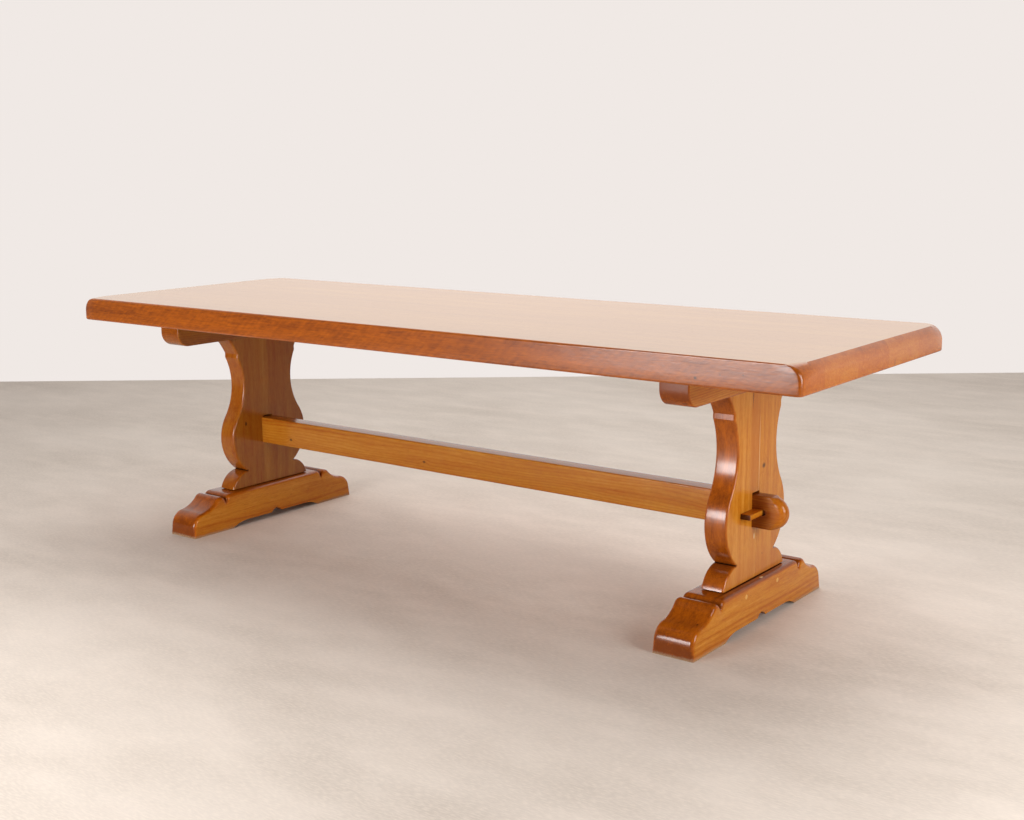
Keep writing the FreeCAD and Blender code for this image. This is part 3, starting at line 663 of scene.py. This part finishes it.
def bored(form, cutter):
    """Takes a cutter's volume out of a form."""
    things = [bpy.data.objects.new("bored", meshed("bored", part)) for part in (form, cutter)]
    for thing in things:
        bpy.context.scene.collection.objects.link(thing)
    whole, tool = things
    cut = whole.modifiers.new("slot", "BOOLEAN")
    cut.operation, cut.solver, cut.object = "DIFFERENCE", "EXACT", tool
    bpy.context.view_layer.update()
    result = bmesh.new()
    result.from_object(whole, bpy.context.evaluated_depsgraph_get())
    for thing in things:
        mesh = thing.data
        bpy.data.objects.remove(thing)
        bpy.data.meshes.remove(mesh)
    return result


def tenon_form(sizes, sign):
    """Through tenon with a half-round nose and its key slot."""
    tip, low, high = RAIL_HIGH.x, RAIL_LOW.z, RAIL_HIGH.z
    radius, middle = (high - low) / 2, (low + high) / 2
    straight = [INNER_FACE + (tip - radius - INNER_FACE) * k / 14 for k in range(14)]
    chain = [Vector((x, low)) for x in straight]
    chain += sweep((tip - radius, middle), radius, -QUARTER, QUARTER, 36)
    chain += [Vector((x, high)) for x in reversed(straight)]
    # The arris swells smoothly into the nose
    roll = []
    for p in chain:
        share = min(1, max(0, (p.x - tip + 1.05 * radius) / (0.5 * radius)))
        roll.append(sizes.tenon_arris + (sizes.tenon_roll - sizes.tenon_arris) * share * share * (3 - 2 * share))
    form = moulded(chain, [], roll, TENON_HALF, lambda across, up, through: (across, through, up), 7)
    start, end = OUTER_FACE - SLOT_BACK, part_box("right_key")[1].x + SLOT_ROOM - SLOT_HALF
    outline = [Vector((start, middle - SLOT_HALF))]
    outline += sweep((end, middle), SLOT_HALF, -QUARTER, QUARTER, 12)
    outline += [Vector((start, middle + SLOT_HALF))]
    # The cutter stands out on both sides of the tenon
    cutter = bmesh.new()
    skinned(cutter, [[cutter.verts.new((p.x, y, p.y)) for p in outline] for y in (-0.03, 0.03)])
    done = bored(form, cutter)
    if sign < 0:
        bmesh.ops.scale(done, vec=(-1, 1, 1), verts=done.verts)
    return done


def take_in(form, other):
    """Adds another form's faces to a form."""
    mesh = bpy.data.meshes.new("taken_in")
    other.to_mesh(mesh)
    other.free()
    form.from_mesh(mesh)
    bpy.data.meshes.remove(mesh)


class TABLE_OT_top(bpy.types.Operator):
    """Boards of the top, sawn from one slab with a hand-planed edge"""
    bl_idname = "trestle_table.top"
    bl_label = "Top boards"

    def execute(self, context):
        sizes = context.scene.table_sizes
        joints = [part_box("top_board_%d" % n)[0].y for n in range(2, 6)]
        edges = [None] + joints + [None]
        edge_marks = [((0.989, CAD_LOW.y, 0.700), (0.007, 0.02, 0.006), "umber", 0.9, 9),
                      ((1.051, CAD_LOW.y, 0.712), (0.004, 0.02, 0.003), "umber", 0.7, 0),
                      ((1.108, CAD_LOW.y, 0.717), (0.003, 0.02, 0.004), "umber", 0.7, 0)]
        # Darker towards the right end of the upper face
        tan = ((CAD_HIGH.x, 0, CAD_HIGH.z), (1.4, 3, 0.04), "umber", 0.07, 0)
        crack = ((CAD_HIGH.x, 0.094, 0.690), (0.02, 0.0022, 0.016), "umber", 0.9, 0)
        piths = [(0.3, 0.36, -0.80), (1.2, 0.05, -0.93), (2.7, -0.12, -0.60), (3.6, -0.20, -0.95), (5.1, -0.34, -0.56)]
        stains = (0.58, 0.5, 0.56, 0.48, 0.55)
        for number in range(1, 6):
            form = sawn(slab_form(sizes), edges[number - 1], edges[number])
            # The upper faces are paled as a painted reflection of the white room, on top of the film's own mirroring
            material = varnished_elm("elm planed varnished top %d" % number, "x", piths[number - 1],
                                     stain=stains[number - 1], edge=0.26, end_grain=-0.24, depth=0.25, streaks=0.5,
                                     marks=[tan] + (edge_marks if number == 1 else [crack]), gloss=0.24, film=1.5,
                                     flat="z", wear_and_glare=0.6, chatter=0.6, figure=0.25)
            node = "top_board_%d" % number
            settle(node + "_planed", form, material, [node], "table")
        return {"FINISHED"}


class TABLE_OT_uprights(bpy.types.Operator):
    """Lyre-shaped uprights, two boards each, with the stretcher's mortise"""
    bl_idname = "trestle_table.uprights"
    bl_label = "Uprights"

    def execute(self, context):
        sizes = context.scene.table_sizes
        halves = (upright_edge(sizes, sizes.base_rear), mirrored(upright_edge(sizes, sizes.base_front)))
        low, high = FOOT_HIGH.z, BEARER_LOW.z
        hole_low, hole_high = RAIL_LOW.z, RAIL_HIGH.z + MORTISE_ROOM
        outlines = {}
        for part, half, way in (("rear", halves[0], 1), ("front", halves[1], -1)):
            seam, wall = JOINT + way * GLUE_LINE, way * MORTISE_HALF
            closing = [(seam, high), (seam, hole_high), (wall, hole_high),
                       (wall, hole_low), (seam, hole_low), (seam, low)]
            outlines[part] = ([Vector((p.x + JOINT, p.y)) for p in half], closing[::way])
        # A redder band down the right upright's middle and redder wood at its base, and painted shade over the left
        # one, which stands in the slab's shadow
        band = ((OUTER_FACE, -0.01, 0.46), (0.03, 0.042, 0.42), "cinnamon", 0.6, 0)
        base = ((OUTER_FACE, JOINT, low), (0.03, 0.3, 0.12), "cinnamon", 0.4, 0)
        # Painted shade: umber over the whole of the left trestle's boards
        dark = ((-TRESTLE, JOINT, 0.37), (1, 3, 3), "umber", 0.42, 0)
        faults = {
            "right_front": [band,
                            ((OUTER_FACE, -0.025, 0.592), (0.02, 0.0024, 0.05), "umber", 1.0, 0),
                            ((OUTER_FACE, -0.004, 0.228), (0.02, 0.004, 0.012), "chalk", 1.0, 0),
                            ((0.917, -0.135, 0.429), (0.004, 0.02, 0.003), "umber", 0.9, 0),
                            base],
            "right_rear": [band,
                           ((OUTER_FACE, 0.041, 0.405), (0.03, 0.013, 0.011), "umber", 0.85, 10),
                           ((OUTER_FACE, 0.043, 0.171), (0.03, 0.003, 0.005), "umber", 0.7, 5),
                           ((OUTER_FACE, 0.015, 0.44), (0.03, 0.0022, 0.16), "chalk", 0.6, 0),
                           base],
            "left_front": [dark, ((-0.868, -0.096, 0.328), (0.02, 0.007, 0.011), "umber", 0.9, 14)],
            "left_rear": [dark],
        }
        stains = {"right_front": 0.27, "right_rear": 0.36, "left_front": 0.42, "left_rear": 0.46}
        piths = {"right_front": (0.7, 0.13, 0.09), "right_rear": (1.9, -0.22, -0.16),
                 "left_front": (3.1, 0.17, -0.11), "left_rear": (4.4, -0.16, 0.12)}
        for side, sign in SIDES.items():
            for part, (chain, closing) in outlines.items():
                key = "%s_%s" % (side, part)
                # Painted shade in the crease at the cusp, the innermost point of the edge's lower part
                cusp = min(chain, key=lambda p: abs(p.x - JOINT) if p.y < 0.2 else 1)
                crease = ((sign * TRESTLE, cusp.x, cusp.y), (0.12, 0.008, 0.005), "umber", 1.0, 0)
                form = moulded(chain, closing, [sizes.upright_roll] * len(chain), UPRIGHT_HALF,
                               upright_lay(sign * TRESTLE), mitred=0.75)
                undercut_base(form, sign * TRESTLE, low, JOINT, sizes.base_gap, sizes.base_undercut)
                material = varnished_elm("elm planed varnished upright " + key.replace("_", " "), "z", piths[key],
                                         stain=stains[key], edge=0.55 if sign > 0 else 0.14, depth=0.13, streaks=0.75,
                                         marks=faults[key] + [crease], gloss=0.19, film=1.43)
                node = "%s_upright_%s_board" % (side, part)
                settle(node + "_shaped", form, material, [node], "table")
        return {"FINISHED"}


class TABLE_OT_feet(bpy.types.Operator):
    """Feet with ogee toes, V notches and a low arch"""
    bl_idname = "trestle_table.feet"
    bl_label = "Feet"

    def execute(self, context):
        sizes = context.scene.table_sizes
        chain = foot_edge(sizes)
        closing = foot_underside(sizes)
        half = (FOOT_HIGH.x - FOOT_LOW.x) / 2
        # The arris starts small next to the floor and opens out above it
        roll = [min(sizes.foot_roll, 0.004 + 0.25 * p.y) for p in chain]
        faults = {"right": [((0.939, -0.30, 0.08), (0.004, 0.007, 0.03), "umber", 0.75, 6),
                            # A painted glint of light on the foot's upper face, next to the upright's lower end
                            ((0.946, 0.017, FOOT_HIGH.z), (0.006, 0.011, 0.006), "chalk", 1.0, 0)],
                  "left": []}
        piths = {"right": (0.9, 0.985, -0.105), "left": (2.3, -0.985, -0.12)}
        for side, sign in SIDES.items():
            # Painted shadow of the gap under the upright: a dark line along the upright's foot
            line = ((sign * OUTER_FACE, JOINT, FOOT_HIGH.z), (0.006, 0.34, 0.02), "umber", 0.9, 0)
            form = moulded(chain, closing, roll, half, upright_lay(sign * TRESTLE))
            material = varnished_elm("elm planed varnished foot " + side, "y", piths[side],
                                     stain=0.38, edge=0.44, ring=0.013, depth=0.3, marks=[line] + faults[side],
                                     gloss=0.15, film=1.33, scuff=0.012)
            settle(side + "_foot_shaped", form, material, [side + "_foot"], "table")
        return {"FINISHED"}


class TABLE_OT_bearers(bpy.types.Operator):
    """Bearers under the slab, with round lower ends"""
    bl_idname = "trestle_table.bearers"
    bl_label = "Bearers"

    def execute(self, context):
        sizes = context.scene.table_sizes
        end, low, high = BEARER_HIGH.y, BEARER_LOW.z, BEARER_HIGH.z
        radius = sizes.bearer_end
        left = [Vector((-end, high)), Vector((-end, low + radius + 0.01))]
        left += sweep((-end + radius, low + radius), radius, math.pi, 1.5 * math.pi, 20)
        left += [Vector((-end + radius + (end - radius) * k / 12, low)) for k in range(1, 12)]
        chain = without_repeats(left + mirrored(left))
        half = (BEARER_HIGH.x - BEARER_LOW.x) / 2
        for side, sign in SIDES.items():
            form = moulded(chain, [], [sizes.bearer_roll] * len(chain), half, upright_lay(sign * TRESTLE))
            # Painted shade over the left bearer, which stands in the slab's shadow
            dark = [((-TRESTLE, 0, high), (1, 3, 1), "umber", 0.5, 0)] if sign < 0 else ()
            material = varnished_elm("elm planed varnished bearer " + side, "y", (0.4 - sign, sign * 0.93, -0.55),
                                     stain=0.46, edge=0.4 if sign > 0 else 0.0, marks=dark)
            settle(side + "_bearer_shaped", form, material, [side + "_bearer"], "table")
        return {"FINISHED"}


class TABLE_OT_stretcher(bpy.types.Operator):
    """Stretcher with a through tenon at each end"""
    bl_idname = "trestle_table.stretcher"
    bl_label = "Stretcher"

    def execute(self, context):
        sizes = context.scene.table_sizes
        form = rail_form(sizes)
        for sign in SIDES.values():
            take_in(form, tenon_form(sizes, sign))
        middle = (RAIL_LOW.z + RAIL_HIGH.z) / 2
        # The first mark is painted shade, umber over the whole stretcher and most to the left, for the shade under the
        # top; the others are knots
        faults = [((-0.4, 0, middle), (2.5, 1, 1), "umber", 0.36, 0),
                  ((-0.733, -RAIL_HALF, 0.279), (0.010, 0.02, 0.007), "umber", 0.9, 8),
                  ((-0.159, -RAIL_HALF, 0.281), (0.009, 0.02, 0.006), "umber", 0.85, 6)]
        # Redder noses of the tenons, and painted shade on their roots, which lie in the uprights' shadow
        for sign in SIDES.values():
            faults += [((sign * RAIL_HIGH.x, 0, middle), (0.1, 0.1, 0.1), "cinnamon", 0.5, 0),
                       ((sign * (RAIL_HIGH.x - 0.075), 0, middle), (0.08, 0.06, 0.18), "tenon_root_shade", 0.95, 0)]
        material = varnished_elm("elm planed varnished stretcher", "x", (0.6, 0.11, -0.40),
                                 stain=0.36, end_grain=0, marks=faults)
        settle("stretcher_planed", form, material, ["stretcher"], "table")
        return {"FINISHED"}


class TABLE_OT_keys(bpy.types.Operator):
    """Loose keys with hand-cut, softened edges"""
    bl_idname = "trestle_table.keys"
    bl_label = "Keys"

    def execute(self, context):
        for side in SIDES:
            low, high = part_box(side + "_key")
            # The key's end is end grain, which takes more stain, and the umber over it is painted shade
            dark = [(((low.x + high.x) / 2, low.y, (low.z + high.z) / 2), (0.03, 0.006, 0.02), "umber", 0.7, 0)]
            form = bmesh.new()
            bmesh.ops.create_cube(form, size=1)
            for vert in form.verts:
                vert.co = [low[k] + (vert.co[k] + 0.5) * (high[k] - low[k]) for k in range(3)]
            bmesh.ops.bevel(form, geom=list(form.edges), offset=context.scene.table_sizes.key_roll, segments=8,
                            profile=0.5, affect="EDGES")
            material = varnished_elm("elm split varnished key " + side, "y", (0.2, 0.9, -0.33),
                                     stain=0.4, edge=0.25, end_grain=0.8, marks=dark)
            settle(side + "_key_cut", form, material, [side + "_key"], side + "_key")
        return {"FINISHED"}


class TABLE_OT_pegs(bpy.types.Operator):
    """Riven pegs with low domed heads"""
    bl_idname = "trestle_table.pegs"
    bl_label = "Pegs"

    def execute(self, context):
        radius = context.scene.table_sizes.peg / 2
        for side, sign in SIDES.items():
            for part in ("foot", "bearer"):
                node = "%s_%s_pegs" % (side, part)
                low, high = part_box(node)
                z = (low.z + high.z) / 2
                inner, outer = (low.x, high.x) if sign > 0 else (high.x, low.x)
                pale = [((outer, 0, z), (0.03, 0.3, 0.03), "chalk", 0.18, 0)]
                # Places along a peg, and the share of its radius there
                dome = sign * 0.0012
                profile = [(inner, 0), (inner, 1), (outer - sign * 0.0015, 1), (outer - dome, 0.93)]
                profile += [(outer - dome * s * s, s) for s in (0.8, 0.6, 0.4, 0.2)] + [(outer, 0)]
                turns = [2 * math.pi * k / 28 for k in range(28)]
                form = bmesh.new()
                for y in (low.y + radius, high.y - radius):
                    rings = [[form.verts.new((x, y + radius * share * math.cos(a) * (1 + 0.02 * math.cos(3 * a)),
                                              z + radius * share * math.sin(a))) for a in turns]
                             for x, share in profile]
                    skinned(form, rings, capped=False)
                material = varnished_elm("elm riven varnished " + node.replace("_", " "), "x", (0.1, 0.1, -z + 0.01),
                                         stain=0.0, ring=0.003, end_grain=-0.3, marks=pale)
                settle(node + "_riven", form, material, [node], "table")
        return {"FINISHED"}


class TABLE_OT_screws(bpy.types.Operator):
    """Finish of the coach screws that hold the slab down"""
    bl_idname = "trestle_table.screws"
    bl_label = "Screws"

    def execute(self, context):
        steel = zinc_steel("steel zinc plated")
        for side in SIDES:
            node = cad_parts[side + "_top_screws"]
            node.data.materials.clear()
            node.data.materials.append(steel)
        return {"FINISHED"}


class TABLE_OT_stage(bpy.types.Operator):
    """Pale floor, white surroundings, soft lamps and the camera"""
    bl_idname = "trestle_table.stage"
    bl_label = "Stage"

    def execute(self, context):
        scene = context.scene
        # The camera's place, and its turns in radians
        eye, yaw, pitch, roll = Vector((2.48511, -3.05317, 1.20403)), 0.6518, -0.1887, -0.0088
        ahead = Vector((-math.sin(yaw), math.cos(yaw), 0))
        right = Vector((math.cos(yaw), math.sin(yaw), 0))

        # The floor ends 7.25 m ahead of the camera, is 8.8 m wide and runs on behind the camera
        mesh = bpy.data.meshes.new("floor")
        far = eye + ahead * 7.25
        reach, depth = right * 4.4, ahead * 10.5
        corners = [far - reach, far + reach, far + reach - depth, far - reach - depth]
        mesh.from_pydata([(c.x, c.y, 0) for c in corners], [], [(0, 1, 2, 3)])
        mesh.materials.append(trowelled_concrete("concrete trowelled"))
        floor = bpy.data.objects.new("floor", mesh)
        scene.collection.objects.link(floor)

        # White wall ahead and a dim room behind the camera, and plain white where the camera sees past the floor
        world = bpy.data.worlds.new("studio")
        world.use_nodes = True
        scene.world = world
        tree = world.node_tree
        way = put(tree, "ShaderNodeTexCoord").outputs["Generated"]
        facing = put(tree, "ShaderNodeVectorMath", {0: way, 1: ahead}, operation="DOT_PRODUCT").outputs["Value"]
        level = put(tree, "ShaderNodeMapRange", {0: facing, 1: -0.05, 2: 0.6, 3: 0.07, 4: 1.3},
                    interpolation_type="SMOOTHSTEP").outputs[0]
        seen = put(tree, "ShaderNodeLightPath").outputs["Is Camera Ray"]
        strength = put(tree, "ShaderNodeMix", {0: seen, 2: level, 3: 1.0}).outputs[0]
        wall = tree.nodes["Background"]
        wall.inputs["Color"].default_value = linear(scene.table_colours.wall)
        tree.links.new(strength, wall.inputs["Strength"])

        # Lamps: name, place, aim, width, height, watts
        lamps = [("side lamp", (3.3, -0.6, 1.2), (0.4, 0.0, 0.4), 1.3, 1.5, 54),
                 ("front lamp", (-0.5, -3.4, 0.92), (-0.5, 0.0, 0.92), 1.6, 0.95, 101),
                 ("low lamp", (-0.5, -3.42, 0.15), (-0.5, 0.0, 0.15), 1.7, 0.55, 11),
                 ("ceiling lamp", (-0.4, 2.0, 3.8), (-0.4, 1.5, 0.0), 4.5, 3.5, 92)]
        for name, place, aim, width, height, watts in lamps:
            lamp = bpy.data.lights.new(name, "AREA")
            lamp.shape, lamp.size, lamp.size_y, lamp.energy = "RECTANGLE", width, height, watts
            holder = bpy.data.objects.new(name, lamp)
            holder.location = place
            holder.rotation_euler = (Vector(aim) - Vector(place)).to_track_quat("-Z", "Y").to_euler()
            holder.visible_camera = False
            scene.collection.objects.link(holder)

        camera = bpy.data.cameras.new("camera")
        camera.lens, camera.sensor_width = 47.955, 36
        forward = ahead * math.cos(pitch) + Vector((0, 0, math.sin(pitch)))
        up = right.cross(forward)
        side = right * math.cos(roll) + up * math.sin(roll)
        top = up * math.cos(roll) - right * math.sin(roll)
        holder = bpy.data.objects.new("camera", camera)
        turn = Matrix((side, top, -forward)).transposed()
        holder.matrix_world = Matrix.Translation(eye) @ turn.to_4x4()
        scene.collection.objects.link(holder)
        scene.camera = holder
        scene.view_settings.view_transform = "Standard"
        return {"FINISHED"}


class TABLE_PT_panel(bpy.types.Panel):
    """Lists the table's pieces, sizes and colours"""
    bl_idname = "TABLE_PT_panel"
    bl_label = "Trestle table"
    bl_space_type = "VIEW_3D"
    bl_region_type = "UI"
    bl_category = "Table"

    def draw(self, context):
        for operator in OPERATORS:
            self.layout.operator(operator.bl_idname)
        for group in (context.scene.table_sizes, context.scene.table_colours):
            for name in group.bl_rna.properties.keys():
                if name not in ("rna_type", "name"):
                    self.layout.prop(group, name)


OPERATORS = (TABLE_OT_top, TABLE_OT_uprights, TABLE_OT_feet, TABLE_OT_bearers, TABLE_OT_stretcher, TABLE_OT_keys,
             TABLE_OT_pegs, TABLE_OT_screws, TABLE_OT_stage)
CLASSES = (TableSizes, TableColours) + OPERATORS + (TABLE_PT_panel,)


def register():
    """Adds the classes, and the settings to the scene."""
    for kind in CLASSES:
        bpy.utils.register_class(kind)
    bpy.types.Scene.table_sizes = bpy.props.PointerProperty(type=TableSizes)
    bpy.types.Scene.table_colours = bpy.props.PointerProperty(type=TableColours)


def unregister():
    """Takes them out again."""
    del bpy.types.Scene.table_colours
    del bpy.types.Scene.table_sizes
    for kind in reversed(CLASSES):
        bpy.utils.unregister_class(kind)


def main():
    """Builds the table and its stage."""
    register()
    bpy.ops.trestle_table.top()
    bpy.ops.trestle_table.uprights()
    bpy.ops.trestle_table.feet()
    bpy.ops.trestle_table.bearers()
    bpy.ops.trestle_table.stretcher()
    bpy.ops.trestle_table.keys()
    bpy.ops.trestle_table.pegs()
    bpy.ops.trestle_table.screws()
    bpy.ops.trestle_table.stage()


if __name__ == "__main__":
    main()
